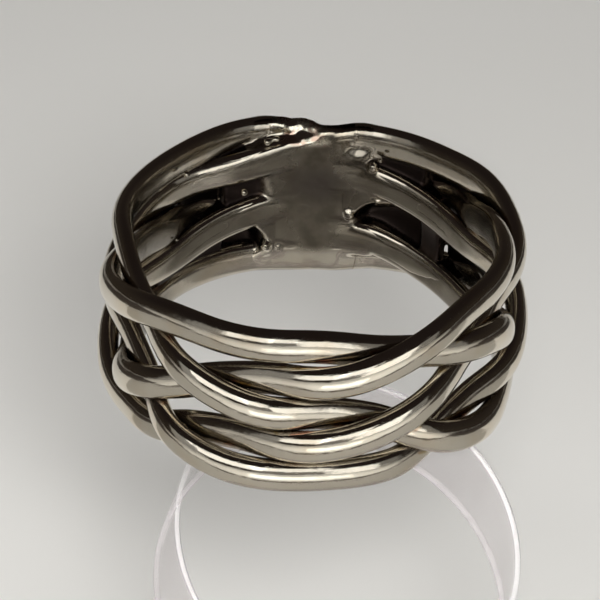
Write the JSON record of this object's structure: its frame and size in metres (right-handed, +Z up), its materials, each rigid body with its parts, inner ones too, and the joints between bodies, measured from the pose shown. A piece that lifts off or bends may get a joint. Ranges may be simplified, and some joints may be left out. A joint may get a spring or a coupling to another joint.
{
  "type": "braided ring on a clear display stand",
  "caption": "Finger ring of flat-plaited half-round silver strands, soldered at the back, on a clear hoop stand.",
  "frame": {"origin": "under the middle of the finger hole, on the surface that the stand rests on", "axes": "+Z up along the ring's axis, +X to the right seen from the front, the ring's front towards -Y"},
  "size_m": [0.0262, 0.0275, 0.0351],
  "materials": {
    "silver": "polished sterling silver, warm, lightly scratched",
    "solder": "filed silver solder, dull, with pits and bright edges",
    "clear_plastic": "clear acrylic with bright sawn edges"
  },
  "bodies": {
    "root": {"strand_a": "silver", "strand_b": "silver", "strand_c": "silver", "strand_d": "silver", "strand_e": "silver", "soldered_back": "solder", "clear_stand": "clear_plastic"}
  },
  "joints": []
}
